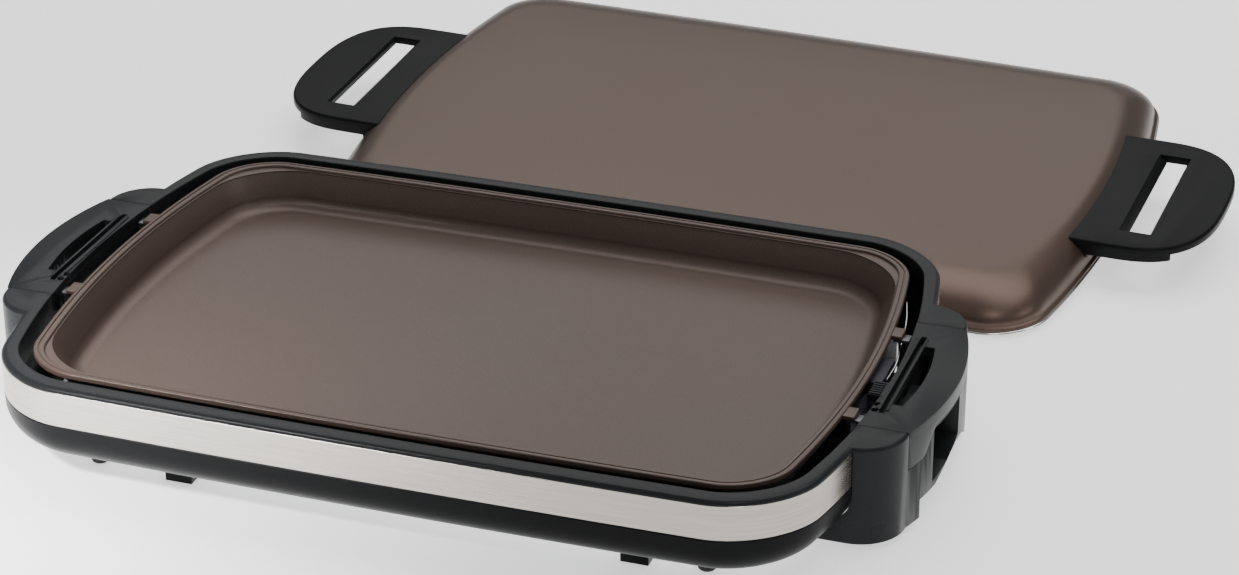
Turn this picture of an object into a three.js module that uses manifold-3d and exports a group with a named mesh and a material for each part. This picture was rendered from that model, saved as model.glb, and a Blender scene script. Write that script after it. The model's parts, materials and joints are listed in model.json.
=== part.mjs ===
// Large electric griddle: body guard with lift-out plate, and the lid standing behind it.
// Millimetres, +Z up, floor at z = 0. The griddle faces -Y; its control socket is on the +X end.

import * as THREE from 'three';
import { mergeVertices } from 'three/addons/utils/BufferGeometryUtils.js';
import Module from 'manifold-3d';

const wasm = await Module();
wasm.setup();

// driving dimensions

// body guard outline, measured between the corners; the four sides bow outward from it
const bodyWidth = 484;
const bodyDepth = 355;
const bodyCorner = 45;
const bodyEndBow = 26;
const bodyFrontBow = 3;

// heights above the floor
const bodyHeight = 66;
const footHeight = 14.5;
const ringLip = 3;
const bandHeight = 21.8;
const columnFoot = 4;

// body guard walls
const baseRound = 21;
const wall = 2.6;
const bandThickness = 1;
const ringFaceEnd = 8.4;
const ringFaceFront = 11.4;
const ringSkirt = 16;
const ringRound = 3.5;

// lift-out cooking plate
const plateGapEnd = 4.6;
const plateGapFront = 7.2;
const plateEndBow = 17.6;
const plateFrontBow = 2.8;
const plateCorner = 33;
const rimWidth = 5.5;
const rimThickness = 3.6;
const cavityDepth = 25;
const cavityCorner = 48;
const wallDraft = 8;
const floorFillet = 9;
const plateFloor = 5;
const plateWall = 3.4;
const tabLength = 12;
const tabReach = 6.5;
const tabOffset = 53;

// carrying handles at the two ends
const handleReach = 30;
const coverHalf = 68;
const coverSagitta = 12;
const coverPlate = 5.7;
const coverEndDrop = 24;
const coverArchDrop = 9;
const coverArchHalf = 36;
const coverShoulder = 54;
const coverWall = 4;
const columnRadius = 28;
const gripHalf = 38;
const gripOuter = 20;
const gripInner = 31;
const gripLip = 3;
const gripLipDepth = 15;
const slitHalf = 50;
const slitInset = 35;
const slitWidth = 2.6;
const slitDepth = 3;

// guard wall below each handle, and the control socket in the right one
const guardThickness = 3;
const guardEndZ = 16;
const guardMiddleZ = 28;
const podCeiling = 4;
const socketSleeveWall = 2.4;
const socketY = -18;
const socketWidth = 44;
const socketBottom = 21;
const socketDrop = 10;

// reflector pan, heating element and its terminals
const panSheet = 0.8;
const panRim = 6;
const tubeRadius = 3.5;
const elementInset = 42;
const elementCorner = 40;
const terminalInset = 8.6;
const terminalDepth = 5;
const terminalDrop = 16;
const terminalMargin = 7;
const shieldHalf = 16;
const shieldDepth = 8;
const shieldDrop = 8;
const pinSpacing = 20;
const pinRadius = 2.4;
const pinLength = 15;
const probeRadius = 3.4;
const probeLength = 13;
const clampWidth = 12;
const wireRadius = 0.8;

// lid
const lidOverhangEnd = 10;
const lidOverhangFront = 5.5;
const lidEndBow = 20;
const lidFrontBow = 2.5;
const lidCorner = 34;
const lidHeight = 27.5;
const lidWallHeight = 7;
const lidShoulderEnd = 22;
const lidShoulderFront = 40;
const lidShoulderPower = 1.65;
const lidCrownInset = 60;
const lidFlange = 3.6;
const lidSheet = 1.5;
const lidBandHeight = 3;
const lidBandWidth = 3.2;

// lid handles
const lidHandleTop = 23.6;
const lidHandleThickness = 5.5;
const lidHandleHalf = 79.2;
const lidHandleReach = 68;
const lidHandleStraight = 7;
const lidHandlePower = 2.7;
const slotHalf = 57;
const slotOuter = 39.5;
const slotInner = 54.5;
const slotSlope = 6.5;
const slotLip = 2;
const skirtWidth = 10;
const skirtDrop = 5;
const skirtEnd = 18;
const rootReach = 6;
const rootHalf = 62;
const legReach = -8;

// where the lid stands: its centre, the turn on the floor and the tilt of its back edge
const lidBehind = 201.4;
const lidAside = 55.4;
const lidLift = 12.2;
const lidTurn = -2.71;
const lidTilt = 3.6;

// feet and screws
const padFootX = [149.5, -134.5];
const padFootInset = 32.5; // from the long side to the pad's middle
const padFootSize = [17, 10];
const roundFootX = 190;
const roundFootInset = 36.5;
const roundFootRadius = 5.5;
const screwHead = 3.6;
const screwShank = 1.8;
const screwLength = 12;

// fits
const clearance = 0.3;
const seam = 0.4;

// how finely round shapes are divided
const cornerSteps = 5;
const endSteps = 6;
const frontSteps = 5;
const roundSides = 12;
const tubeSides = 8;

// sizes that follow

const bodyOutline = {
  width: bodyWidth, depth: bodyDepth, corner: bodyCorner, endBow: bodyEndBow, frontBow: bodyFrontBow,
};
const wellOutline = {
  width: bodyWidth - 2 * ringFaceEnd,
  depth: bodyDepth - 2 * ringFaceFront,
  corner: bodyCorner - ringFaceEnd,
  endBow: bodyEndBow,
  frontBow: bodyFrontBow,
};
const plateOutline = {
  width: wellOutline.width - 2 * plateGapEnd,
  depth: wellOutline.depth - 2 * plateGapFront,
  corner: plateCorner,
  endBow: plateEndBow,
  frontBow: plateFrontBow,
};
const cavityOutline = { ...plateOutline, corner: cavityCorner };
const lidOutline = {
  width: bodyWidth + 2 * lidOverhangEnd,
  depth: bodyDepth + 2 * lidOverhangFront,
  corner: lidCorner,
  endBow: lidEndBow,
  frontBow: lidFrontBow,
};

const bandTop = bodyHeight - ringLip;
const bandBottom = bandTop - bandHeight;
const bodyEnd = bodyWidth / 2 + bodyEndBow;
const wellEnd = wellOutline.width / 2 + wellOutline.endBow;
const plateEnd = plateOutline.width / 2 + plateOutline.endBow;
const handleEnd = bodyEnd + handleReach;
const plateTop = bodyHeight;
const floorTop = plateTop - cavityDepth;
const floorBottom = floorTop - plateFloor;
const elementZ = floorBottom - clearance - tubeRadius;
const socketTop = bodyHeight - socketDrop;
const terminalTop = bodyHeight - terminalDrop;
const shieldTop = bodyHeight - shieldDrop;
const pinZ = (socketBottom + socketTop) / 2;
const padFootY = bodyDepth / 2 - padFootInset;
const roundFootY = bodyDepth / 2 - roundFootInset;
const lidEnd = lidOutline.width / 2 + lidOutline.endBow;
const coverRadius = (coverHalf ** 2 + coverSagitta ** 2) / (2 * coverSagitta);

// materials

function finish(color, roughness, metalness) {
  return new THREE.MeshStandardMaterial({ color, roughness, metalness });
}

const blackPlastic = finish(0x1a1b1d, 0.45, 0);
const satinPlastic = finish(0x2b2d30, 0.35, 0);
const brushedSteel = finish(0xd4d0c8, 0.35, 1);
const brightSteel = finish(0xe6e6e6, 0.15, 1);
const brownCoating = finish(0x5e4f48, 0.5, 0.2);
const lidCoating = finish(0x55473f, 0.45, 0.2);
const aluminium = finish(0xb4b6b8, 0.5, 1);
const zincSteel = finish(0x9a9c9e, 0.45, 1);
const rubber = finish(0x0e0e0e, 0.9, 0);
const ceramic = finish(0x3a3440, 0.6, 0);

// solids

function toSolid(geometry) {
  const bare = geometry.index ? geometry.toNonIndexed() : geometry.clone();
  bare.deleteAttribute('normal');
  bare.deleteAttribute('uv');
  const merged = mergeVertices(bare, 1e-4);
  return new wasm.Manifold(new wasm.Mesh({
    numProp: 3,
    vertProperties: new Float32Array(merged.attributes.position.array),
    triVerts: new Uint32Array(merged.index.array),
  }));
}

function toGeometry(solid) {
  const mesh = solid.getMesh();
  const geometry = new THREE.BufferGeometry();
  geometry.setAttribute('position', new THREE.BufferAttribute(new Float32Array(mesh.vertProperties), 3));
  geometry.setIndex(new THREE.BufferAttribute(new Uint32Array(mesh.triVerts), 1));
  geometry.computeVertexNormals();
  return geometry;
}

function boxSolid(x0, x1, y0, y1, z0, z1) {
  const geometry = new THREE.BoxGeometry(x1 - x0, y1 - y0, z1 - z0);
  geometry.translate((x0 + x1) / 2, (y0 + y1) / 2, (z0 + z1) / 2);
  return toSolid(geometry);
}

// an outline of [x, y] points raised from z0 to z1
function prismSolid(points, z0, z1) {
  const shape = new THREE.Shape(points.map(([x, y]) => new THREE.Vector2(x, y)));
  const geometry = new THREE.ExtrudeGeometry(shape, { depth: z1 - z0, bevelEnabled: false });
  geometry.translate(0, 0, z0);
  return toSolid(geometry);
}

// a rounded rectangle whose four sides bow outward, as [x, y] points, anticlockwise
function outlinePoints(outline, inset = 0) {
  const halfX = outline.width / 2 - inset;
  const halfY = outline.depth / 2 - inset;
  const radius = Math.max(outline.corner - inset, 4);
  const corners = [[1, -1, -90], [1, 1, 0], [-1, 1, 90], [-1, -1, 180]];
  const points = [];
  corners.forEach(([sideX, sideY, start], index) => {
    for (let step = 0; step <= cornerSteps; step += 1) {
      const angle = THREE.MathUtils.degToRad(start + (90 * step) / cornerSteps);
      const x = sideX * (halfX - radius) + radius * Math.cos(angle);
      const y = sideY * (halfY - radius) + radius * Math.sin(angle);
      points.push([x, y]);
    }
    const isEnd = index % 2 === 0;
    const steps = isEnd ? endSteps : frontSteps;
    const reach = isEnd ? halfY - radius : halfX - radius;
    for (let step = 1; step < steps; step += 1) {
      const along = reach * ((2 * step) / steps - 1);
      points.push(isEnd ? [sideX * halfX, sideX * along] : [-sideY * along, sideY * halfY]);
    }
  });
  return points.map(([x, y]) => [
    x * (1 + (outline.endBow / halfX) * (1 - (y / halfY) ** 2)),
    y * (1 + (outline.frontBow / halfY) * (1 - (x / halfX) ** 2)),
  ]);
}

// a solid swept round the outline: profile rows are [inset, z] or [inset, z, outline], outside going up.
// An open profile is closed by flat caps at its two ends; a closed one is a hollow frame.
function contourGeometry(outline, profile, closed) {
  const rings = profile.map(([inset, z, other]) => (
    outlinePoints(other || outline, inset).map(([x, y]) => [x, y, z])
  ));
  const count = rings[0].length;
  const positions = rings.flat(2);
  const index = [];
  const bands = closed ? rings.length : rings.length - 1;
  for (let row = 0; row < bands; row += 1) {
    const next = (row + 1) % rings.length;
    for (let i = 0; i < count; i += 1) {
      const j = (i + 1) % count;
      const [a, b, c, d] = [row * count + i, row * count + j, next * count + j, next * count + i];
      index.push(a, b, c, a, c, d);
    }
  }
  if (!closed) {
    const caps = [[0, false], [rings.length - 1, true]];
    caps.forEach(([row, up]) => {
      const centre = positions.length / 3;
      positions.push(0, 0, profile[row][1]);
      for (let i = 0; i < count; i += 1) {
        const a = row * count + i;
        const b = row * count + ((i + 1) % count);
        index.push(...(up ? [centre, a, b] : [centre, b, a]));
      }
    });
  }
  const geometry = new THREE.BufferGeometry();
  geometry.setAttribute('position', new THREE.Float32BufferAttribute(positions, 3));
  geometry.setIndex(index);
  return geometry.toNonIndexed();
}

function contourSolid(outline, profile, closed = false) {
  return toSolid(contourGeometry(outline, profile, closed));
}

function lathedSolid(profile, sides = roundSides) {
  const points = profile.map(([radius, z]) => new THREE.Vector2(radius, z));
  const geometry = new THREE.LatheGeometry(points, sides);
  geometry.rotateX(Math.PI / 2);
  return toSolid(geometry);
}

function tubeSolid(points, radius, steps, sides = tubeSides) {
  const stations = points.map((point) => new THREE.Vector3(...point));
  const path = new THREE.CatmullRomCurve3(stations, false, 'centripetal');
  const section = new THREE.Shape();
  for (let side = 0; side < sides; side += 1) {
    const angle = (2 * Math.PI * side) / sides;
    const [x, y] = [radius * Math.cos(angle), radius * Math.sin(angle)];
    if (side === 0) section.moveTo(x, y);
    else section.lineTo(x, y);
  }
  return toSolid(new THREE.ExtrudeGeometry(section, { steps, extrudePath: path }));
}

// the outline's bulge at a distance y from the middle of an end
function endX(outline, y, inset = 0) {
  const halfX = outline.width / 2 - inset;
  const halfY = outline.depth / 2 - inset;
  return halfX + outline.endBow * (1 - (y / halfY) ** 2);
}

// x of the handle's outer arc at a distance y from its middle
function handleX(y, inset = 0) {
  const radius = coverRadius - inset;
  return handleEnd - inset - radius + Math.sqrt(radius ** 2 - y ** 2);
}

function steppedRange(from, to, steps) {
  return Array.from({ length: steps + 1 }, (_, i) => from + ((to - from) * i) / steps);
}

// the region between two x limits that change with y
function bandPrism(innerX, outerX, y0, y1, z0, z1, steps = 10) {
  const ys = steppedRange(y0, y1, steps);
  const outer = ys.map((y) => [outerX(y), y]);
  const inner = ys.map((y) => [innerX(y), y]).reverse();
  return prismSolid([...outer, ...inner], z0, z1);
}

// body guard

// everything that the body guard's outside takes up, grown by a gap
function bodyEnvelope(gap) {
  const bottom = footHeight - gap;
  return contourSolid(bodyOutline, [
    [baseRound, bottom],
    [baseRound * 0.62, bottom + baseRound * 0.076],
    [baseRound * 0.29 - gap, bottom + baseRound * 0.293],
    [baseRound * 0.076 - gap, bottom + baseRound * 0.617],
    [-gap, bottom + baseRound],
    [-gap, bandTop + gap],
  ]);
}

function socketWindow() {
  const half = socketWidth / 2;
  return boxSolid(plateEnd, bodyEnd + 2, socketY - half, socketY + half, socketBottom, socketTop);
}

function baseShell() {
  const bottom = footHeight;
  const backing = bandThickness + clearance;
  const inner = backing + wall;
  const shell = contourSolid(bodyOutline, [
    [baseRound, bottom],
    [baseRound * 0.62, bottom + baseRound * 0.076],
    [baseRound * 0.29, bottom + baseRound * 0.293],
    [baseRound * 0.076, bottom + baseRound * 0.617],
    [0, bottom + baseRound],
    [0, bandBottom - clearance],
    [backing, bandBottom - clearance],
    [backing, bandTop],
    [inner, bandTop],
    [inner, bottom + baseRound],
    [baseRound, bottom + wall],
  ]);
  return coverRecess().reduce((solid, recess) => solid.subtract(recess), shell).subtract(socketWindow());
}

function coverRecess() {
  const drop = bodyHeight - coverPlate - clearance;
  return [1, -1].map((side) => boxSolid(
    Math.min(side * (wellEnd - bodyEndBow / 2), side * handleEnd),
    Math.max(side * (wellEnd - bodyEndBow / 2), side * handleEnd),
    -coverHalf - seam, coverHalf + seam, drop, bodyHeight + wall,
  ));
}

function ringSolid() {
  const skirtBottom = bandTop - ringSkirt;
  const hang = bandThickness + wall + 2 * clearance;
  return contourSolid(bodyOutline, [
    [0, bandTop + clearance],
    [0.3, bodyHeight - ringRound * 0.5],
    [ringRound * 0.4, bodyHeight - ringRound * 0.12],
    [ringRound, bodyHeight],
    [0, bodyHeight, wellOutline],
    [0, skirtBottom, wellOutline],
    [-wall, skirtBottom, wellOutline],
    [-wall, bandTop + clearance, wellOutline],
    [hang, bandTop + clearance],
  ], true);
}

// one half of the steel band: it runs from one rear or front column to the other
function steelBand(front) {
  const band = contourSolid(bodyOutline, [
    [0, bandBottom],
    [0, bandTop],
    [bandThickness, bandTop],
    [bandThickness, bandBottom],
  ], true);
  const limit = coverHalf + columnRadius - 2;
  const y0 = front ? -bodyDepth : limit;
  const y1 = front ? -limit : bodyDepth;
  return band.intersect(boxSolid(-handleEnd, handleEnd, y0, y1, bandBottom - wall, bandTop + wall));
}

// the carrying handle's outer outline: an arc between two quarter-round columns
function podPoints(inset) {
  const arc = steppedRange(-coverHalf, coverHalf, 12).map((y) => [handleX(y, inset), y]);
  const columnX = handleX(coverHalf, inset) - columnRadius + inset;
  const quarter = steppedRange(0, 90, 5).slice(1).map((degrees) => {
    const angle = THREE.MathUtils.degToRad(degrees);
    const radius = columnRadius - inset;
    return [columnX + radius * Math.cos(angle), coverHalf + radius * Math.sin(angle)];
  });
  const mirrored = quarter.map(([x, y]) => [x, -y]).reverse();
  const side = coverHalf + columnRadius - inset;
  const inside = wellEnd - bodyEndBow;
  return [...mirrored, ...arc, ...quarter, [inside, side], [inside, -side]];
}

// drop of the cover's lower edge below the top, at a distance y from its middle
function archDrop(y) {
  const share = (Math.abs(y) - coverArchHalf) / (coverShoulder - coverArchHalf);
  return coverArchDrop + (coverEndDrop - coverArchDrop) * Math.min(Math.max(share, 0), 1);
}

// a prism in the Y-Z plane, from x0 to x1
function archPrism(points, x0, x1) {
  const shape = new THREE.Shape(points.map(([y, z]) => new THREE.Vector2(y, z)));
  const geometry = new THREE.ExtrudeGeometry(shape, { depth: x1 - x0, bevelEnabled: false });
  geometry.applyMatrix4(new THREE.Matrix4().set(0, 0, 1, x0, 1, 0, 0, 0, 0, 1, 0, 0, 0, 0, 0, 1));
  return toSolid(geometry);
}

// the space kept for a handle cover's arched outer wall
function archSpace(gap) {
  const half = coverHalf + gap;
  const ys = [-half, -coverShoulder, -coverArchHalf, coverArchHalf, coverShoulder, half];
  const lower = ys.map((y) => [y, bodyHeight - archDrop(y) - gap]);
  const upper = [[half, bodyHeight + wall], [-half, bodyHeight + wall]];
  return archPrism([...lower, ...upper], bodyEnd - bodyEndBow, handleEnd + wall);
}

// the lower edge of the guard wall rises from the columns to the middle of the handle
function guardUndercut() {
  const half = coverShoulder;
  const points = [[-half, guardEndZ], [-coverArchHalf, guardEndZ + 1], [0, guardMiddleZ],
    [coverArchHalf, guardEndZ + 1], [half, guardEndZ], [half, -1], [-half, -1]];
  return archPrism(points, bodyEnd - bodyEndBow, handleEnd + wall);
}

function frameScrewPlaces() {
  const x = handleX(coverHalf) - columnRadius / 2;
  return [-1, 1].map((row) => [x, row * (coverHalf + columnRadius / 2 - 3), columnFoot + 4]);
}

// columns and guard wall of one handle, hollow from below, with a screw boss in each column
function handlePod() {
  const shell = prismSolid(podPoints(0), columnFoot, bodyHeight)
    .subtract(prismSolid(podPoints(guardThickness), columnFoot - 1, bodyHeight - podCeiling));
  const bosses = frameScrewPlaces().map(([x, y, z]) => (
    lathedSolid([[0, z + 2 + clearance], [screwHead + 1.6, z + 2 + clearance],
      [screwHead + 1.6, bodyHeight - 1], [0, bodyHeight - 1]]).translate([x, y, 0])
  ));
  const well = contourSolid(wellOutline, [[0, bandBottom], [0, bodyHeight + wall]]);
  return bosses.reduce((solid, boss) => solid.add(boss), shell)
    .subtract(bodyEnvelope(clearance))
    .subtract(well)
    .subtract(archSpace(seam))
    .subtract(guardUndercut());
}

// the socket's opening in the right guard wall, seen from the end
function socketPoints(grow) {
  const y0 = socketY - socketWidth / 2 - grow;
  const y1 = socketY + socketWidth / 2 + grow;
  const lip = guardThickness - grow;
  return [[y0, socketBottom - grow], [socketY, (socketBottom + guardMiddleZ) / 2 - grow],
    [y1, guardMiddleZ + lip], [y1, socketTop + grow], [y0, socketTop + grow]];
}

// the socket's surround: a sleeve from the guard wall in to the base's end wall
function socketSleeve() {
  const sleeve = archPrism(socketPoints(socketSleeveWall), bodyEnd - bodyEndBow, handleEnd)
    .intersect(prismSolid(podPoints(guardThickness / 2), 0, bodyHeight));
  const under = boxSolid(0, handleEnd, -bodyDepth, bodyDepth, bodyHeight - coverPlate - 1, bodyHeight + 1);
  const lipHalf = gripHalf + gripLip + seam;
  const lip = bandPrism(
    (y) => handleX(y, gripOuter + clearance),
    (y) => handleX(y, gripOuter - gripLip - clearance),
    -lipHalf, lipHalf, bodyHeight - gripLipDepth - clearance, bodyHeight, 8,
  );
  return sleeve.subtract(bodyEnvelope(clearance)).subtract(under).subtract(lip);
}

// the top ring with the handle columns and guard walls moulded on to its ends
function bodyFrame() {
  const pod = handlePod();
  const opening = archPrism(socketPoints(0), bodyEnd - bodyEndBow / 2, handleEnd + 1);
  const archGap = archSpace(seam);
  const right = pod.add(socketSleeve().subtract(archGap)).subtract(opening);
  const frame = ringSolid().add(right).add(mirrorX(pod));
  const cuts = [...coverRecess(), socketWindow()];
  frameScrewPlaces().forEach((place) => {
    const hole = screwSolid(clearance).translate(place);
    cuts.push(hole, mirrorX(hole));
  });
  return cuts.reduce((solid, cut) => solid.subtract(cut), frame);
}

function mirrorX(solid) {
  return solid.mirror([1, 0, 0]);
}

function handleCover(side) {
  const low = bodyHeight - coverEndDrop;
  const under = bodyHeight - coverPlate / 2;
  const outer = (y) => handleX(y);
  const top = bandPrism((y) => endX(wellOutline, y), outer, -coverHalf, coverHalf,
    bodyHeight - coverPlate, bodyHeight, 12);
  const arch = bandPrism((y) => handleX(y, coverWall), outer, -coverHalf, coverHalf, low, under, 12)
    .intersect(archSpace(0));
  const end = bandPrism((y) => endX(bodyOutline, y) + 1.4, (y) => handleX(y, coverWall / 2),
    coverShoulder + 2, coverHalf, low, under, 3);
  const lip = bandPrism((y) => handleX(y, gripOuter), (y) => handleX(y, gripOuter - gripLip),
    -gripHalf - gripLip, gripHalf + gripLip, bodyHeight - gripLipDepth, under, 8);
  const grip = bandPrism(() => handleEnd - gripInner, (y) => handleX(y, gripOuter),
    -gripHalf, gripHalf, bodyHeight - coverPlate - 1, bodyHeight + 1, 8);
  const slitX = handleEnd - slitInset;
  const slitFloor = bodyHeight - slitDepth;
  const slit = boxSolid(slitX, slitX + slitWidth, -slitHalf, slitHalf, slitFloor, bodyHeight + 1);
  const cover = [arch, end, end.mirror([0, 1, 0]), lip].reduce((solid, part) => solid.add(part), top)
    .subtract(grip)
    .subtract(slit);
  return side > 0 ? cover : mirrorX(cover);
}

// cooking plate and heating

function platePlan() {
  const lip = 1.6;
  const cavityInset = rimWidth + 0.6;
  const floorInset = rimWidth + wallDraft;
  const outerFloor = floorInset + floorFillet;
  return contourSolid(plateOutline, [
    [outerFloor, floorBottom, cavityOutline],
    [floorInset + 1, floorBottom + 2.6, cavityOutline],
    [floorInset - plateWall + 1, floorTop + floorFillet - 2, cavityOutline],
    [rimWidth - plateWall + 1, plateTop - rimThickness, cavityOutline],
    [0.6, plateTop - rimThickness],
    [0, plateTop - rimThickness + 0.8],
    [0, plateTop - 0.5],
    [0.6, plateTop],
    [rimWidth, plateTop],
    [cavityInset, plateTop - lip],
    [cavityInset + 0.5, plateTop - lip - 0.4, cavityOutline],
    [floorInset, floorTop + floorFillet, cavityOutline],
    [floorInset + floorFillet * 0.29, floorTop + floorFillet * 0.29, cavityOutline],
    [floorInset + floorFillet, floorTop, cavityOutline],
  ]);
}

// where the four rim tabs and the rests below them are: side, row and depth of the plate's end there
function tabPlaces() {
  return [['front_left', -1, -1], ['front_right', 1, -1], ['rear_left', -1, 1], ['rear_right', 1, 1]];
}

function tabBox(sideX, sideY, grow, z0, z1, reach) {
  const y = sideY * tabOffset;
  const rim = endX(plateOutline, tabOffset);
  const x0 = sideX * (rim - rimWidth * 0.7);
  const x1 = sideX * (rim + reach);
  const half = tabLength / 2 + grow;
  return boxSolid(Math.min(x0, x1), Math.max(x0, x1), y - half, y + half, z0, z1);
}

function cookingPlate() {
  return tabPlaces().reduce(
    (plate, [, sideX, sideY]) => plate.add(
      tabBox(sideX, sideY, 0, plateTop - rimThickness, plateTop - 0.8, tabReach),
    ),
    platePlan(),
  );
}

// an angle bracket on the body's inner wall that carries one tab
function plateRest(sideX, sideY) {
  const y = sideY * tabOffset;
  const top = plateTop - rimThickness - clearance;
  const inWall = endX(wellOutline, tabOffset + tabLength) - clearance;
  const rim = endX(plateOutline, tabOffset) + 1;
  const shelf = boxSolid(rim, inWall, y - 4, y + 4, top - 2, top);
  const leg = boxSolid(inWall - 1.6, inWall, y - 4, y + 4, bandTop - ringSkirt + 1, top);
  const rest = shelf.add(leg);
  return sideX > 0 ? rest : mirrorX(rest);
}

function heatShieldPan() {
  const bottom = footHeight + wall + clearance;
  const inset = baseRound + 6;
  return contourSolid(bodyOutline, [
    [inset + 4, bottom],
    [inset, bottom + 1.6],
    [inset - panRim, bottom + panRim],
    [inset - panRim + panSheet, bottom + panRim],
    [inset + panSheet, bottom + 1.6 + panSheet],
    [inset + 4 + panSheet, bottom + panSheet],
  ]);
}

// half-width and half-depth of the element's loop
function elementHalf() {
  return [plateOutline.width / 2 - elementInset, plateOutline.depth / 2 - elementInset];
}

function terminalX() {
  return plateEnd - terminalInset;
}

// one leg runs in from the front terminal, round the loop, and back to the rear terminal
function elementPoints() {
  const [halfX, halfY] = elementHalf();
  const legY = pinSpacing / 2;
  const knee = 18;
  const bend = elementCorner * 0.29;
  const straight = halfX - elementCorner;
  const points = [
    [terminalX() - clearance, socketY - legY], [halfX + knee, socketY - legY],
    [halfX + bend, socketY - legY - 4], [halfX, socketY - legY - knee],
    [halfX, -halfY + elementCorner], [halfX - bend, -halfY + bend], [straight, -halfY],
    [straight * 0.75, -halfY], [0, -halfY], [-straight * 0.75, -halfY],
    [-straight, -halfY], [-halfX + bend, -halfY + bend],
    [-halfX, -halfY + elementCorner], [-halfX, 0], [-halfX, halfY - elementCorner],
    [-halfX + bend, halfY - bend], [-straight, halfY],
    [-straight * 0.75, halfY], [0, halfY], [straight * 0.75, halfY],
    [straight, halfY], [halfX - bend, halfY - bend], [halfX, halfY - elementCorner],
    [halfX, socketY + legY + knee], [halfX + bend, socketY + legY + 4],
    [halfX + knee, socketY + legY], [terminalX() - clearance, socketY + legY],
  ];
  return points.map(([x, y]) => [x, y, elementZ]);
}

function heatingElement() {
  return tubeSolid(elementPoints(), tubeRadius, 80);
}

// a saddle strap over the element, against the underside of the plate
function elementClamp(x, y) {
  const half = clampWidth / 2;
  const top = floorBottom - clearance;
  const bottom = elementZ - tubeRadius - clearance;
  const reach = tubeRadius + 7;
  const strap = boxSolid(x - half, x + half, y - reach, y + reach, bottom - 1.2, top);
  const bore = tubeRadius + clearance;
  const tunnel = boxSolid(x - half - 1, x + half + 1, y - bore, y + bore, bottom, top + 1);
  const wings = [1, -1].map((side) => boxSolid(x - half - 1, x + half + 1,
    Math.min(y + side * (tubeRadius + 1.6), y + side * (reach + 1)),
    Math.max(y + side * (tubeRadius + 1.6), y + side * (reach + 1)), bottom - 2, top - 1.2));
  return wings.reduce((solid, wing) => solid.subtract(wing), strap.subtract(tunnel));
}

// the block stands behind the pins; its raised rear part shields them when the plate is handled
function terminalBlock() {
  const x = terminalX();
  const half = pinSpacing / 2 + terminalMargin;
  const shieldY = socketY + half + shieldHalf;
  const [y0, y1, low] = [shieldY - shieldHalf, shieldY + shieldHalf, elementZ + 6];
  const body = boxSolid(x, x + terminalDepth, socketY - half, y1, elementZ - 4, terminalTop);
  const shieldX = x + terminalDepth + 0.6;
  const shield = boxSolid(shieldX, shieldX + shieldDepth, y0, y1, low, shieldTop);
  const web = boxSolid(x + 1, shieldX + 1, y0, y1, low, terminalTop);
  return body.add(shield).add(web);
}

function terminalBracket() {
  const top = elementZ - 4 - clearance;
  const x = terminalX();
  const hangX = x - terminalInset - 12;
  const hanger = boxSolid(hangX, hangX + 1.6, socketY - 5, socketY + 5, top - 1.6, floorBottom - clearance);
  const sole = boxSolid(hangX, x + terminalDepth - 1, socketY - 5, socketY + 5, top - 1.6, top);
  return hanger.add(sole);
}

function sidewaysRod(radius, length, sides = roundSides) {
  const geometry = new THREE.CylinderGeometry(radius, radius, length, sides);
  geometry.rotateZ(Math.PI / 2);
  geometry.translate(length / 2, 0, 0);
  return toSolid(geometry);
}

function terminalPin(side) {
  const x = terminalX() + terminalDepth + clearance;
  return sidewaysRod(pinRadius, pinLength).translate([x, socketY + (side * pinSpacing) / 2, pinZ]);
}

function probeTube() {
  return sidewaysRod(probeRadius, probeLength)
    .translate([terminalX() + terminalDepth + clearance, socketY, pinZ]);
}

// bent wire that runs from below the rim to the terminal shield
function guardWire() {
  const level = plateTop - 6;
  const low = level - 3;
  const shieldX = terminalX() + terminalDepth + 0.6 + shieldDepth + wireRadius + clearance;
  const points = [
    [endX(plateOutline, 105) + 0.5, 105, level - 1], [endX(plateOutline, 80) + 3.6, 80, level - 1],
    [endX(plateOutline, 62) + 4.6, 62, low], [endX(plateOutline, 46) + 5.4, 46, low],
    [shieldX + 0.8, 26, low], [shieldX, 8, low - 1],
  ];
  return tubeSolid(points, wireRadius, 20, 6);
}

// lid, in its own frame with the rim's lower edge at z = 0

// the shell's outline at a share of the way in from its wall to the flat of the top
function shoulderOutline(offset, share) {
  const foot = lidFlange + offset;
  return {
    width: lidOutline.width - 2 * (foot + (lidShoulderEnd - offset) * share),
    depth: lidOutline.depth - 2 * (foot + (lidShoulderFront - offset) * share),
    corner: lidOutline.corner - foot - (lidOutline.corner / 3) * share,
    endBow: lidOutline.endBow,
    frontBow: lidOutline.frontBow,
  };
}

// wall, shoulder and crown of the pressed shell; the offset moves them inward by a sheet's thickness
function lidRows(offset) {
  const rise = lidHeight - 1 - lidWallHeight - offset;
  const power = 2 / lidShoulderPower;
  const shoulder = steppedRange(0, 90, 7).map((degrees) => {
    const angle = THREE.MathUtils.degToRad(degrees);
    const share = 1 - Math.max(Math.cos(angle), 0) ** power;
    return [0, lidWallHeight + rise * Math.sin(angle) ** power, shoulderOutline(offset, share)];
  });
  const foot = [0, lidBandHeight + 2.6 - offset * 0.4, shoulderOutline(offset - 0.4, 0)];
  return [foot, ...shoulder, [lidCrownInset, lidHeight - offset, shoulderOutline(offset, 1)]];
}

function lidShell() {
  const flange = lidBandHeight + clearance;
  return contourSolid(lidOutline, [
    ...lidRows(lidSheet).reverse().slice(0, -1),
    [lidFlange + lidSheet, flange],
    [1.4, flange],
    [1, flange + 0.5],
    [1.2, flange + 1.4],
    ...lidRows(0),
  ]);
}

function lidBand() {
  return contourSolid(lidOutline, [
    [0.9, 0],
    [0, 0.9],
    [0, lidBandHeight - 0.9],
    [0.9, lidBandHeight],
    [lidBandWidth, lidBandHeight],
    [lidBandWidth, 0],
  ], true);
}

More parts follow.
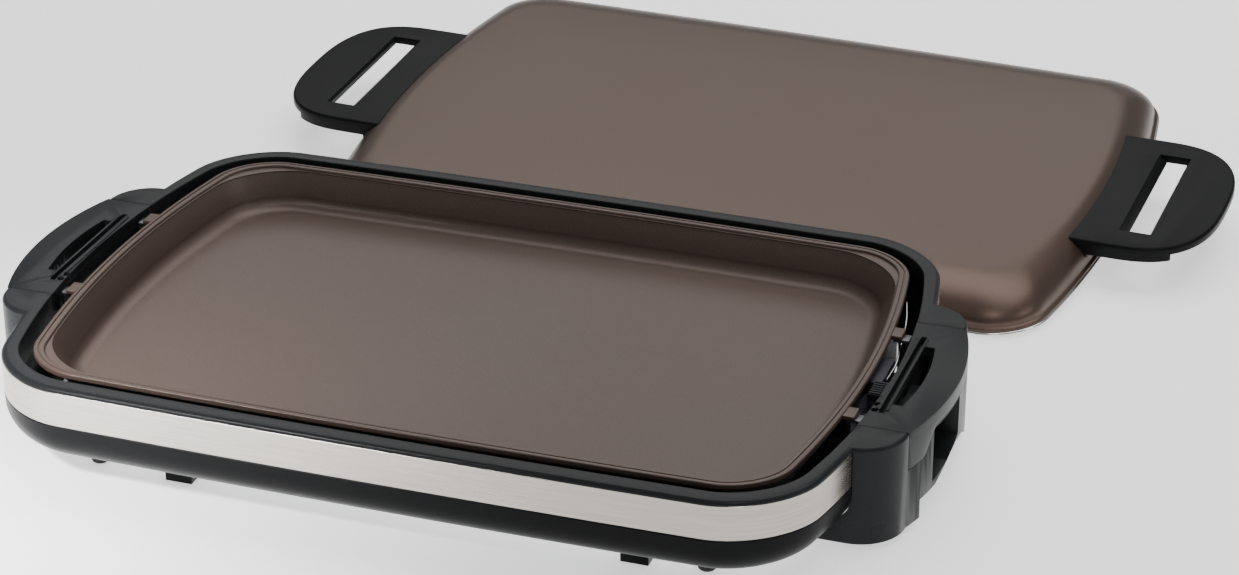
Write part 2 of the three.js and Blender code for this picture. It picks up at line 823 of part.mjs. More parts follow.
function lidEnvelope(gap) {
  return contourSolid(lidOutline, [
    [-gap, -4],
    [-gap, lidBandHeight + gap],
    [1 - gap, lidBandHeight + 2 + gap],
    ...lidRows(-gap),
  ]);
}

// D-shaped handle outline: straight sides, then a squarish curve round the end
function lidHandlePoints(inset) {
  const straight = lidEnd + lidHandleStraight;
  const reach = lidHandleReach - lidHandleStraight - inset;
  const half = lidHandleHalf - inset;
  const points = steppedRange(-90, 90, 22).map((degrees) => {
    const angle = THREE.MathUtils.degToRad(degrees);
    const sine = Math.sin(angle);
    return [
      straight + reach * Math.max(Math.cos(angle), 0) ** (2 / lidHandlePower),
      half * Math.sign(sine) * Math.abs(sine) ** (2 / lidHandlePower),
    ];
  });
  const start = lidEnd - lidHandleReach * 0.42;
  return [[start, -half], ...points, [start, half]];
}

// a prism in the X-Z plane, from y0 to y1
function crossPrism(points, y0, y1) {
  const shape = new THREE.Shape(points.map(([x, z]) => new THREE.Vector2(x, z)));
  const geometry = new THREE.ExtrudeGeometry(shape, { depth: y1 - y0, bevelEnabled: false });
  geometry.rotateX(Math.PI / 2);
  geometry.translate(0, y1, 0);
  return toSolid(geometry);
}

// the finger slot: upright on the outside, dished towards it on the inside
function lidSlot() {
  const tip = lidEnd + lidHandleReach;
  const top = lidHandleTop + 1;
  const low = lidHandleTop - lidHandleThickness - skirtDrop - 1;
  const inner = tip - slotInner;
  const outer = tip - slotOuter;
  const points = [[inner, low], [outer, low], [outer, lidHandleTop - 2],
    [outer + slotLip, top], [inner - slotSlope, top], [inner, lidHandleTop - 5]];
  return crossPrism(points, -slotHalf, slotHalf);
}

// stiffening skirts under the handle's two long edges, and the root that meets the shell
function lidHandleRibs() {
  const low = lidHandleTop - lidHandleThickness;
  const inside = lidEnd - lidHandleReach * 0.42;
  const skirtX = lidEnd + lidHandleReach - skirtEnd;
  const half = lidHandleHalf - 0.6;
  const skirt = prismSolid(lidHandlePoints(0.6), low - skirtDrop, low + 1)
    .subtract(boxSolid(inside - 1, skirtX, skirtWidth - half, half - skirtWidth, -1, low + 2))
    .subtract(boxSolid(skirtX, handleEnd * 2, -half - 1, half + 1, -1, low + 2));
  const rootLow = lidBandHeight + 3;
  const root = boxSolid(inside, lidEnd + rootReach, -rootHalf, rootHalf, rootLow, low + 1);
  const legs = boxSolid(inside, lidEnd + legReach, -half, half, rootLow, low + 1);
  return skirt.add(root).add(legs);
}

function lidHandle(side) {
  let handle = prismSolid(lidHandlePoints(0), lidHandleTop - lidHandleThickness, lidHandleTop)
    .add(lidHandleRibs())
    .subtract(lidSlot())
    .subtract(lidEnvelope(clearance));
  lidScrewPlaces().forEach((place) => {
    handle = handle.subtract(screwSolid(clearance).translate(place));
  });
  return side > 0 ? handle : mirrorX(handle);
}

// feet and screws

function padFoot(x, y) {
  const [sizeX, sizeY] = padFootSize;
  return boxSolid(x - sizeX / 2, x + sizeX / 2, y - sizeY / 2, y + sizeY / 2, 0, footHeight - clearance);
}

function roundFoot(x, y) {
  return lathedSolid([[0, 0], [roundFootRadius - 1, 0], [roundFootRadius, 1],
    [roundFootRadius, footHeight - clearance], [0, footHeight - clearance]]).translate([x, y, 0]);
}

// a pan-head screw pointing up, its head's face at z = 0; grown by a gap it is the hole for it
function screwSolid(gap) {
  const head = screwHead + gap;
  const shank = screwShank + gap;
  const low = gap > 0 ? -20 : 0;
  return lathedSolid([[0, low], [head, low], [head, 2 + gap], [shank, 2 + gap],
    [shank, screwLength + gap], [0, screwLength + gap]]);
}

function lidScrewPlaces() {
  const x = lidEnd + rootReach - screwHead - 2;
  return [-1, 1].map((row) => [x, row * lidHandleHalf * 0.7, lidBandHeight + 4.6]);
}

// assembly

const griddle = new THREE.Group();
const lid = new THREE.Group();

function place(group, name, solid, material) {
  const mesh = new THREE.Mesh(toGeometry(solid), material);
  mesh.name = name;
  group.add(mesh);
}

const ends = [['left', -1], ['right', 1]];
const rows = [['front', -1], ['rear', 1]];

place(griddle, 'base_shell', baseShell(), blackPlastic);
place(griddle, 'body_frame', bodyFrame(), satinPlastic);
place(griddle, 'steel_band_front', steelBand(true), brushedSteel);
place(griddle, 'steel_band_rear', steelBand(false), brushedSteel);
place(griddle, 'heat_shield_pan', heatShieldPan(), aluminium);

ends.forEach(([end, side]) => {
  place(griddle, `handle_cover_${end}`, handleCover(side), satinPlastic);
  frameScrewPlaces().forEach(([x, y, z], index) => {
    const screw = screwSolid(0).translate([side * x, y, z]);
    place(griddle, `frame_screw_${end}_${rows[index][0]}`, screw, zincSteel);
  });
});

tabPlaces().forEach(([name, sideX, sideY]) => {
  place(griddle, `plate_rest_${name}`, plateRest(sideX, sideY), zincSteel);
});

rows.forEach(([row, sideY]) => {
  padFootX.forEach((x, index) => {
    place(griddle, `pad_foot_${row}_${ends[1 - index][0]}`, padFoot(x, sideY * padFootY), blackPlastic);
  });
  ends.forEach(([end, sideX]) => {
    place(griddle, `rubber_foot_${row}_${end}`, roundFoot(sideX * roundFootX, sideY * roundFootY), rubber);
  });
});

place(griddle, 'cooking_plate', cookingPlate(), brownCoating);
place(griddle, 'heating_element', heatingElement(), zincSteel);
[-100, 0, 100].forEach((x, index) => {
  rows.forEach(([row, sideY]) => {
    const y = sideY * elementHalf()[1];
    place(griddle, `element_clamp_${row}_${index + 1}`, elementClamp(x, y), zincSteel);
  });
});
place(griddle, 'terminal_block', terminalBlock(), ceramic);
place(griddle, 'terminal_bracket', terminalBracket(), zincSteel);
place(griddle, 'terminal_pin_front', terminalPin(-1), brightSteel);
place(griddle, 'terminal_pin_rear', terminalPin(1), brightSteel);
place(griddle, 'probe_tube', probeTube(), brightSteel);
place(griddle, 'terminal_guard_wire', guardWire(), brightSteel);

place(lid, 'lid_shell', lidShell(), lidCoating);
place(lid, 'lid_rim_band', lidBand(), brightSteel);
ends.forEach(([end, side]) => {
  place(lid, `lid_handle_${end}`, lidHandle(side), blackPlastic);
  lidScrewPlaces().forEach(([x, y, z], index) => {
    place(lid, `lid_screw_${end}_${rows[index][0]}`, screwSolid(0).translate([side * x, y, z]), zincSteel);
  });
});
lid.rotation.set(THREE.MathUtils.degToRad(lidTilt), 0, THREE.MathUtils.degToRad(lidTurn), 'ZXY');
lid.position.set(lidAside, bodyDepth / 2 + lidBehind, lidLift);

const model = new THREE.Group();
model.add(griddle, lid);

// the frame's origin is on the floor below the middle of the whole set
model.updateMatrixWorld(true);
const extent = new THREE.Box3().setFromObject(model, true);
const middle = extent.getCenter(new THREE.Vector3());
griddle.position.set(-middle.x, -middle.y, 0);
lid.position.x -= middle.x;
lid.position.y -= middle.y;
model.updateMatrixWorld(true);

export default model;
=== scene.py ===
import json
import math

import bmesh
import bpy
from mathutils import Matrix, Vector


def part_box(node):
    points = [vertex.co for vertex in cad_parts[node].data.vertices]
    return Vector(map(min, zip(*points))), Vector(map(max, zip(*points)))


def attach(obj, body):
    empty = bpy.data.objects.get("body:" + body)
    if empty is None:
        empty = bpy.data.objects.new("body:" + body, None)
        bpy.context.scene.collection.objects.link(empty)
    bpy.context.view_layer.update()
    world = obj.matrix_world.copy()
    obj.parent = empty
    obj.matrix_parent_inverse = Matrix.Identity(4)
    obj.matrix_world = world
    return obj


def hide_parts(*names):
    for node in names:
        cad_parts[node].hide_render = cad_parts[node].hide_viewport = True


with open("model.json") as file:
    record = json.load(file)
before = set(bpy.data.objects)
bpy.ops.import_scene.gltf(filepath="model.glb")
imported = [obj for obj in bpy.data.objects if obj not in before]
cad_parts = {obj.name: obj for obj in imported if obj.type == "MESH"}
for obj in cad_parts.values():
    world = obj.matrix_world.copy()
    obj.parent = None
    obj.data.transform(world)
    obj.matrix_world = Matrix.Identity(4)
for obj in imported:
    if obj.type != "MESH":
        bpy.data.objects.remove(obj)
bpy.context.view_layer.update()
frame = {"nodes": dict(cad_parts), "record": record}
print("frame loaded")

mm = 0.001
low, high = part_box("base_shell")
middle = Vector(((low.x + high.x) / 2, (low.y + high.y) / 2, 0))
bodySeat = Matrix.Translation(middle)
lidPlace = {"aside": 55.4, "behind": 378.9, "lift": 12.2, "turn": -2.71, "tilt": 3.6}
lidSeat = (
    Matrix.Translation(
        middle + Vector((lidPlace["aside"], lidPlace["behind"], lidPlace["lift"])) * mm
    )
    @ Matrix.Rotation(math.radians(lidPlace["turn"]), 4, "Z")
    @ Matrix.Rotation(math.radians(lidPlace["tilt"]), 4, "X")
)


def takeUp(piece):
    if bpy.context.mode != "OBJECT":
        bpy.ops.object.mode_set(mode="OBJECT")
    bpy.ops.object.select_all(action="DESELECT")
    piece.select_set(True)
    bpy.context.view_layer.objects.active = piece


def newLoop(name, spots, filled):
    if bpy.context.mode != "OBJECT":
        bpy.ops.object.mode_set(mode="OBJECT")
    bpy.ops.object.select_all(action="DESELECT")
    bpy.ops.mesh.primitive_circle_add(
        vertices=len(spots), radius=0.2, fill_type="NGON" if filled else "NOTHING"
    )
    piece = bpy.context.active_object
    piece.name = name
    bpy.ops.object.mode_set(mode="EDIT")
    bpy.ops.mesh.select_all(action="SELECT")
    shape = bmesh.from_edit_mesh(piece.data)
    for vert, spot in zip(shape.verts, spots):
        vert.co = Vector(spot) * mm
    bmesh.update_edit_mesh(piece.data)
    return piece


# the selected loop goes to its next row, spot by spot round the middle
def layRow(piece, spots):
    shape = bmesh.from_edit_mesh(piece.data)
    chosen = [vert for vert in shape.verts if vert.select]
    chosen.sort(key=lambda vert: math.atan2(vert.co.y, vert.co.x))
    ordered = sorted(spots, key=lambda spot: math.atan2(spot[1], spot[0]))
    for vert, spot in zip(chosen, ordered):
        vert.co = Vector(spot) * mm
    bmesh.update_edit_mesh(piece.data)


def faceOut(piece):
    takeUp(piece)
    bpy.ops.object.mode_set(mode="EDIT")
    bpy.ops.mesh.select_all(action="SELECT")
    bpy.ops.mesh.normals_make_consistent(inside=False)
    bpy.ops.object.mode_set(mode="OBJECT")


def prismPiece(name, spots, push):
    piece = newLoop(name, spots, True)
    bpy.ops.mesh.extrude_region_move(
        TRANSFORM_OT_translate={"value": tuple(Vector(push) * mm)}
    )
    faceOut(piece)
    return piece


def boxPiece(name, lowCorner, highCorner):
    (x0, y0, z0), (x1, y1, z1) = lowCorner, highCorner
    spots = [(x0, y0, z0), (x1, y0, z0), (x1, y1, z0), (x0, y1, z0)]
    return prismPiece(name, spots, (0, 0, z1 - z0))


def combine(piece, tool, kind, keep=False):
    takeUp(piece)
    change = piece.modifiers.new(kind, "BOOLEAN")
    change.operation = kind
    change.solver = "EXACT"
    change.object = tool
    bpy.ops.object.modifier_apply(modifier=change.name)
    if not keep:
        bpy.data.objects.remove(tool)


def roundEdges(piece, width, segments=3, limit=35):
    takeUp(piece)
    change = piece.modifiers.new("rounding", "BEVEL")
    change.width = width * mm
    change.segments = segments
    change.limit_method = "ANGLE"
    change.angle_limit = math.radians(limit)
    change.use_clamp_overlap = True
    bpy.ops.object.modifier_apply(modifier=change.name)


# rounds the edges round the faces that look up at a height
def roundTop(piece, height, width, segments=5):
    takeUp(piece)
    bpy.ops.object.mode_set(mode="EDIT")
    bpy.ops.mesh.select_mode(type="FACE")
    bpy.ops.mesh.select_all(action="DESELECT")
    shape = bmesh.from_edit_mesh(piece.data)
    for face in shape.faces:
        if face.normal.z > 0.9 and abs(face.calc_center_median().z - height * mm) < 1e-5:
            face.select_set(True)
    bmesh.update_edit_mesh(piece.data)
    bpy.ops.mesh.region_to_loop()
    bpy.ops.mesh.bevel(offset=width * mm, segments=segments, affect="EDGES")
    bpy.ops.mesh.select_mode(type="VERT")
    bpy.ops.object.mode_set(mode="OBJECT")


def mirrored(piece, name):
    copy = piece.copy()
    copy.data = piece.data.copy()
    copy.name = name
    bpy.context.collection.objects.link(copy)
    takeUp(copy)
    copy.scale = (-1, 1, 1)
    bpy.ops.object.transform_apply(location=True, rotation=True, scale=True)
    faceOut(copy)
    return copy


def settle(piece, seat, body, material, nodes, angle=30):
    takeUp(piece)
    piece.matrix_world = seat
    bpy.ops.object.transform_apply(location=True, rotation=True, scale=True)
    bpy.ops.object.shade_smooth_by_angle(angle=math.radians(angle))
    piece.data.materials.clear()
    piece.data.materials.append(material)
    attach(piece, body)
    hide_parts(*nodes)


bodyPlan = {"width": 484, "depth": 355, "corner": 45, "endBow": 26, "frontBow": 3}
wellPlan = {"width": 467.2, "depth": 332.2, "corner": 36.6, "endBow": 26, "frontBow": 3}
platePlan = {"width": 458, "depth": 317.8, "corner": 33, "endBow": 17.6, "frontBow": 2.8}
cavityPlan = dict(platePlan, corner=48)
lidPlan = {"width": 504, "depth": 366, "corner": 34, "endBow": 20, "frontBow": 2.5}
grain = {"corner": 15, "end": 21, "front": 27}


# a rounded rectangle whose four sides bow outward, at a height
def rowSpots(plan, inset, height):
    halfX = plan["width"] / 2 - inset
    halfY = plan["depth"] / 2 - inset
    radius = max(plan["corner"] - inset, 4)
    spots = []
    for index, (sideX, sideY) in enumerate([(1, -1), (1, 1), (-1, 1), (-1, -1)]):
        for step in range(grain["corner"] + 1):
            angle = math.radians(90 * (index - 1 + step / grain["corner"]))
            spots.append(
                (
                    sideX * (halfX - radius) + radius * math.cos(angle),
                    sideY * (halfY - radius) + radius * math.sin(angle),
                )
            )
        isEnd = index % 2 == 0
        steps = grain["end"] if isEnd else grain["front"]
        reach = halfY - radius if isEnd else halfX - radius
        for step in range(1, steps):
            along = reach * (2 * step / steps - 1)
            if isEnd:
                spots.append((sideX * halfX, sideX * along))
            else:
                spots.append((-sideY * along, sideY * halfY))
    return [
        (
            x * (1 + plan["endBow"] / halfX * (1 - (y / halfY) ** 2)),
            y * (1 + plan["frontBow"] / halfY * (1 - (x / halfX) ** 2)),
            height,
        )
        for x, y in spots
    ]


# rows are (plan, inset, height); an open run of rows is closed by caps, a hollow one by its first row
def sweptPiece(name, rows, hollow):
    piece = newLoop(name, rowSpots(*rows[0]), False)
    for row in rows[1:] + (rows[:1] if hollow else []):
        bpy.ops.mesh.extrude_edges_move(
            TRANSFORM_OT_translate={"value": (0, 0, mm)}
        )
        layRow(piece, rowSpots(*row))
    bpy.ops.mesh.select_all(action="SELECT")
    if hollow:
        bpy.ops.mesh.remove_doubles(threshold=1e-6)
    else:
        bpy.ops.mesh.fill_holes(sides=0)
    faceOut(piece)
    return piece


def spread(start, end, steps):
    return [start + (end - start) * step / steps for step in range(steps + 1)]


def arcRows(plan, centre, radii, start, end, steps):
    return [
        (
            plan,
            centre[0] + radii[0] * math.cos(math.radians(angle)),
            centre[1] + radii[1] * math.sin(math.radians(angle)),
        )
        for angle in spread(start, end, steps)
    ]


def endX(plan, y, inset=0):
    halfX = plan["width"] / 2 - inset
    halfY = plan["depth"] / 2 - inset
    return halfX + plan["endBow"] * (1 - (y / halfY) ** 2)


def addSocket(group, name, kind, isInput, value=None):
    socket = group.interface.new_socket(
        name=name, in_out="INPUT" if isInput else "OUTPUT", socket_type=kind
    )
    if value is not None:
        socket.default_value = value


def startGroup(name, inputs, outputs):
    group = bpy.data.node_groups.new(name, "ShaderNodeTree")
    for socketName, kind, value in inputs:
        addSocket(group, socketName, kind, True, value)
    for socketName, kind in outputs:
        addSocket(group, socketName, kind, False)
    entry = group.nodes.new("NodeGroupInput")
    leave = group.nodes.new("NodeGroupOutput")
    return group, entry, leave


def addMath(tree, kind, first, second):
    node = tree.nodes.new("ShaderNodeMath")
    node.operation = kind
    for socket, value in zip(node.inputs, (first, second)):
        if isinstance(value, (int, float)):
            socket.default_value = value
        else:
            tree.links.new(value, socket)
    return node.outputs[0]


def addNoise(tree, vector, scale, detail, roughness):
    node = tree.nodes.new("ShaderNodeTexNoise")
    node.inputs["Detail"].default_value = detail
    node.inputs["Roughness"].default_value = roughness
    tree.links.new(vector, node.inputs["Vector"])
    if isinstance(scale, (int, float)):
        node.inputs["Scale"].default_value = scale
    else:
        tree.links.new(scale, node.inputs["Scale"])
    return node.outputs["Fac"]


def addRange(tree, value, fromLow, fromHigh, toLow, toHigh):
    node = tree.nodes.new("ShaderNodeMapRange")
    tree.links.new(value, node.inputs["Value"])
    ends = {"From Min": fromLow, "From Max": fromHigh, "To Min": toLow, "To Max": toHigh}
    for socketName, end in ends.items():
        if isinstance(end, (int, float)):
            node.inputs[socketName].default_value = end
        else:
            tree.links.new(end, node.inputs[socketName])
    return node.outputs["Result"]


def addMix(tree, share, first, second):
    node = tree.nodes.new("ShaderNodeMix")
    node.data_type = "RGBA"
    tree.links.new(share, node.inputs[0])
    tree.links.new(first, node.inputs[6])
    tree.links.new(second, node.inputs[7])
    return node.outputs[2]


# fine grain with a slow cloud over it: a varying colour, roughness and height
def makeGrainGroup():
    group, entry, leave = startGroup(
        "fineGrain",
        [
            ("Vector", "NodeSocketVector", None),
            ("Colour Low", "NodeSocketColor", None),
            ("Colour High", "NodeSocketColor", None),
            ("Rough Low", "NodeSocketFloat", 0.3),
            ("Rough High", "NodeSocketFloat", 0.5),
            ("Grain Scale", "NodeSocketFloat", 900),
            ("Cloud Scale", "NodeSocketFloat", 6),
        ],
        [
            ("Color", "NodeSocketColor"),
            ("Roughness", "NodeSocketFloat"),
            ("Height", "NodeSocketFloat"),
        ],
    )
    place = entry.outputs["Vector"]
    fine = addNoise(group, place, entry.outputs["Grain Scale"], 3, 0.6)
    cloud = addNoise(group, place, entry.outputs["Cloud Scale"], 4, 0.55)
    grains = addMath(group, "MULTIPLY", fine, 0.8)
    clouds = addMath(group, "MULTIPLY", cloud, 0.2)
    joined = addMath(group, "ADD", grains, clouds)
    share = addRange(group, joined, 0.35, 0.65, 0, 1)
    group.links.new(
        addMix(group, share, entry.outputs["Colour Low"], entry.outputs["Colour High"]),
        leave.inputs["Color"],
    )
    group.links.new(
        addRange(group, cloud, 0.3, 0.7, entry.outputs["Rough Low"], entry.outputs["Rough High"]),
        leave.inputs["Roughness"],
    )
    group.links.new(fine, leave.inputs["Height"])
    return group


# fine lines drawn out along one way, for brushed metal
def makeBrushGroup():
    group, entry, leave = startGroup(
        "brushedLines",
        [
            ("Vector", "NodeSocketVector", None),
            ("Stretch", "NodeSocketVector", (1, 1, 1)),
            ("Colour Low", "NodeSocketColor", None),
            ("Colour High", "NodeSocketColor", None),
            ("Rough Low", "NodeSocketFloat", 0.2),
            ("Rough High", "NodeSocketFloat", 0.35),
        ],
        [
            ("Color", "NodeSocketColor"),
            ("Roughness", "NodeSocketFloat"),
            ("Height", "NodeSocketFloat"),
        ],
    )
    stretched = group.nodes.new("ShaderNodeVectorMath")
    stretched.operation = "MULTIPLY"
    group.links.new(entry.outputs["Vector"], stretched.inputs[0])
    group.links.new(entry.outputs["Stretch"], stretched.inputs[1])
    lines = addNoise(group, stretched.outputs[0], 400, 4, 0.7)
    cloud = addNoise(group, entry.outputs["Vector"], 9, 3, 0.5)
    share = addRange(group, lines, 0.3, 0.7, 0, 1)
    group.links.new(
        addMix(group, share, entry.outputs["Colour Low"], entry.outputs["Colour High"]),
        leave.inputs["Color"],
    )
    drawn = addMath(group, "MULTIPLY", lines, 0.6)
    clouds = addMath(group, "MULTIPLY", cloud, 0.4)
    mixed = addMath(group, "ADD", drawn, clouds)
    group.links.new(
        addRange(group, mixed, 0.3, 0.7, entry.outputs["Rough Low"], entry.outputs["Rough High"]),
        leave.inputs["Roughness"],
    )
    group.links.new(lines, leave.inputs["Height"])
    return group


grainGroup = makeGrainGroup()
brushGroup = makeBrushGroup()


def makeMaterial(name, look):
    material = bpy.data.materials.new(name)
    material.use_nodes = True
    tree = material.node_tree
    shader = tree.nodes["Principled BSDF"]
    for socketName, value in look["shader"].items():
        shader.inputs[socketName].default_value = value
    place = tree.nodes.new("ShaderNodeTexCoord")
    pattern = tree.nodes.new("ShaderNodeGroup")
    pattern.node_tree = look["group"]
    tree.links.new(place.outputs["Object"], pattern.inputs["Vector"])
    for socketName, value in look["pattern"].items():
        pattern.inputs[socketName].default_value = value
    tree.links.new(pattern.outputs["Color"], shader.inputs["Base Color"])
    tree.links.new(pattern.outputs["Roughness"], shader.inputs["Roughness"])
    bump = tree.nodes.new("ShaderNodeBump")
    bump.inputs["Strength"].default_value = look["bump"]
    bump.inputs["Distance"].default_value = look["depth"]
    tree.links.new(pattern.outputs["Height"], bump.inputs["Height"])
    tree.links.new(bump.outputs["Normal"], shader.inputs["Normal"])
    return material


def shade(red, green, blue, times=1.0):
    return (red * times, green * times, blue * times, 1)


def grainLook(
    colour, rough, metallic=0.0, swing=0.15, grainScale=900, bump=0.12, depth=0.00008, **shader
):
    return {
        "group": grainGroup,
        "shader": {"Metallic": metallic, **shader},
        "pattern": {
            "Colour Low": shade(*colour, 1 - swing),
            "Colour High": shade(*colour, 1 + swing),
            "Rough Low": rough[0],
            "Rough High": rough[1],
            "Grain Scale": grainScale,
        },
        "bump": bump,
        "depth": depth,
    }


def brushLook(colour, rough, stretch, swing=0.12, bump=0.15, depth=0.00005):
    return {
        "group": brushGroup,
        "shader": {"Metallic": 1.0},
        "pattern": {
            "Stretch": stretch,
            "Colour Low": shade(*colour, 1 - swing),
            "Colour High": shade(*colour, min(1 + swing, 0.98 / max(colour))),
            "Rough Low": rough[0],
            "Rough High": rough[1],
        },
        "bump": bump,
        "depth": depth,
    }


materials = {
    "black_plastic": makeMaterial(
        "blackPlastic", grainLook((0.0075, 0.0078, 0.0084), (0.28, 0.38), **{"Specular IOR Level": 0.06})
    ),
    "satin_plastic": makeMaterial(
        "satinPlastic", grainLook((0.016, 0.0168, 0.0182), (0.24, 0.34), **{"Specular IOR Level": 0.12})
    ),
    "block_plastic": makeMaterial("blockPlastic", grainLook((0.03, 0.026, 0.038), (0.4, 0.55))),
    "brushed_steel": makeMaterial(
        "brushedSteel", brushLook((0.43, 0.402, 0.36), (0.2, 0.3), (0.04, 0.04, 1.2))
    ),
    "bright_steel": makeMaterial("brightSteel", brushLook((0.8, 0.8, 0.79), (0.12, 0.2), (0.1, 0.1, 1))),
    "zinc_steel": makeMaterial("zincSteel", grainLook((0.16, 0.16, 0.17), (0.35, 0.5), 1.0)),
    "bare_aluminium": makeMaterial("bareAluminium", brushLook((0.7, 0.71, 0.73), (0.35, 0.5), (0.05, 1, 1))),
    "plate_coating": makeMaterial(
        "plateCoating", grainLook((0.098, 0.066, 0.054), (0.4, 0.48), 0.3, 0.2, 1500, 0.1, 0.00006)
    ),
    "lid_coating": makeMaterial(
        "lidCoating", grainLook((0.1, 0.067, 0.053), (0.32, 0.38), 0.7, 0.1, 1700, 0.06, 0.00004)
    ),
    "rubber": makeMaterial("darkRubber", grainLook((0.014, 0.014, 0.014), (0.7, 0.85))),
}
print("materials made")


baseSizes = {
    "bottom": 14.5, "round": 21, "ledge": 40.9, "ledgeRound": 0.5, "bandBottom": 41.2, "bandTop": 63,
    "backing": 1.3, "wall": 2.6, "clear": 0.05,
}


def envelopeRows(gap):
    bottom, radius = baseSizes["bottom"] - gap, baseSizes["round"]
    rows = arcRows(bodyPlan, (radius, bottom + radius), (radius + gap, radius), 270, 180, 8)
    return rows + [(bodyPlan, -gap, baseSizes["bandTop"] + gap + baseSizes["clear"])]


def makeBaseShell():
    bottom, radius, wall = baseSizes["bottom"], baseSizes["round"], baseSizes["wall"]
    backing, top = baseSizes["backing"], baseSizes["bandTop"]
    ledge, corner = baseSizes["ledge"], baseSizes["ledgeRound"]
    centre = (radius, bottom + radius)
    rows = arcRows(bodyPlan, centre, (radius, radius), 270, 180, 14)
    rows += [
        (bodyPlan, 0, ledge - corner),
        (bodyPlan, corner, ledge),
        (bodyPlan, backing, ledge),
        (bodyPlan, backing, top),
        (bodyPlan, backing + wall, top),
    ]
    inner = radius - backing - wall
    rows += arcRows(bodyPlan, centre, (inner, radius - wall), 180, 270, 14)
    return sweptPiece("baseShell", rows, True)


coverSizes = {
    "half": 68, "sagitta": 12, "plate": 5.7, "endDrop": 24, "archDrop": 9, "archHalf": 36,
    "shoulder": 54, "wall": 4, "column": 28, "end": 298, "gripHalf": 38, "gripOuter": 20,
    "gripInner": 31, "gripLip": 3, "lipDepth": 15, "slitHalf": 50, "slitInset": 35,
    "slitWidth": 3.4, "top": 66, "gap": 0.4,
}
coverRadius = (coverSizes["half"] ** 2 + coverSizes["sagitta"] ** 2) / (2 * coverSizes["sagitta"])


def handleX(y, inset=0):
    radius = coverRadius - inset
    return coverSizes["end"] - inset - radius + math.sqrt(radius**2 - y**2)


recessSizes = {"near": 246.6, "far": 300, "bottom": 60, "top": 70}


def recessBox(side):
    near, far = recessSizes["near"], recessSizes["far"]
    half = coverSizes["half"] + coverSizes["gap"]
    return boxPiece(
        "coverRecess",
        (min(side * near, side * far), -half, recessSizes["bottom"]),
        (max(side * near, side * far), half, recessSizes["top"]),
    )


# the lower edge rises at the bend and again at the far side
socketSizes = {
    "y": (-40, 4), "bottom": 21, "top": 56, "bend": -18, "rises": (24.5, 31),
    "window": (240, 272), "sleeve": 2.4, "sleeveStart": 255, "sleeveLength": 43, "sleeveTop": 59.3,
}


def socketBox():
    near, far = socketSizes["window"]
    y0, y1 = socketSizes["y"]
    return boxPiece("socketWindow", (near, y0, socketSizes["bottom"]), (far, y1, socketSizes["top"]))


podSizes = {"root": 233.6, "bottom": 4, "height": 61.98, "topRound": 2.4, "wall": 3, "ceiling": 62}


def podSpots(inset, height):
    half, column = coverSizes["half"], coverSizes["column"]
    arc = [(handleX(y, inset), y, height) for y in spread(-half, half, 36)]
    columnX = handleX(half, inset) - column + inset
    quarter = []
    for step in range(1, 13):
        angle = math.radians(90 * step / 12)
        radius = column - inset
        quarter.append((columnX + radius * math.cos(angle), half + radius * math.sin(angle), height))
    other = [(x, -y, z) for x, y, z in reversed(quarter)]
    side = half + column - inset
    root = podSizes["root"]
    return other + arc + quarter + [(root, side, height), (root, -side, height)]


def archSpots(gap, x):
    half, shoulder, arch = coverSizes["half"] + gap, coverSizes["shoulder"], coverSizes["archHalf"]
    endLow = coverSizes["top"] - coverSizes["endDrop"] - gap
    midLow = coverSizes["top"] - coverSizes["archDrop"] - gap
    bend = []
    for share in spread(0, 1, 10):
        ease = share * share * (3 - 2 * share)
        bend.append((shoulder + (arch - shoulder) * share, endLow + (midLow - endLow) * ease))
    right = [(half, endLow)] + bend
    left = [(-y, z) for y, z in reversed(right)]
    return [(x, y, z) for y, z in [(half, 69), *right, *left, (-half, 69)]]


def undercutSpots():
    right = [(12, 26.2), (24, 21.8), (36, 17), (54, 16)]
    left = [(-y, z) for y, z in reversed(right)]
    return [(242, y, z) for y, z in [*left, (0, 28), *right, (54, -2), (-54, -2)]]


def socketSpots(grow, x):
    y0, y1 = socketSizes["y"]
    middleRise, endRise = socketSizes["rises"]
    top = socketSizes["top"] + grow
    points = [
        (y0 - grow, socketSizes["bottom"] - grow), (socketSizes["bend"], middleRise - grow),
        (y1 + grow, endRise - grow), (y1 + grow, top), (y0 - grow, top),
    ]
    return [(x, y, z) for y, z in points]


# the surround of the socket, inside the pod's guard wall
def makeSleeve():
    spots = socketSpots(socketSizes["sleeve"], socketSizes["sleeveStart"])
    sleeve = prismPiece("sleeve", spots, (socketSizes["sleeveLength"], 0, 0))
    limit = prismPiece("sleeveLimit", podSpots(podSizes["wall"] / 2, 0), (0, 0, socketSizes["sleeveTop"]))
    combine(sleeve, limit, "INTERSECT")
    return sleeve


# the pod's top lies a hair below the ring's, so that the two join cleanly
def makePod(envelope, well, hasSocket):
    bottom, height, wall = podSizes["bottom"], podSizes["height"], podSizes["wall"]
    pod = prismPiece("handlePod", podSpots(0, bottom), (0, 0, height))
    roundTop(pod, bottom + height, podSizes["topRound"], 6)
    inside = prismPiece("podInside", podSpots(wall, bottom - 1), (0, 0, podSizes["ceiling"] - bottom + 1))
    combine(pod, inside, "DIFFERENCE")
    if hasSocket:
        combine(pod, makeSleeve(), "UNION")
    combine(pod, envelope, "DIFFERENCE", True)
    combine(pod, well, "DIFFERENCE", True)
    combine(pod, prismPiece("archSpace", archSpots(0.4, 255), (60, 0, 0)), "DIFFERENCE")
    combine(pod, prismPiece("undercut", undercutSpots(), (70, 0, 0)), "DIFFERENCE")
    if hasSocket:
        combine(pod, prismPiece("opening", socketSpots(0, 250), (60, 0, 0)), "DIFFERENCE")
    return pod


frameSizes = {
    "under": 63.3, "outerRound": (3.5, 2.7), "innerRound": 0.9, "innerStart": 65.1,
    "foot": 47, "footRound": 0.6, "wall": 2.6, "ledge": 4.2, "edge": 0.5,
}


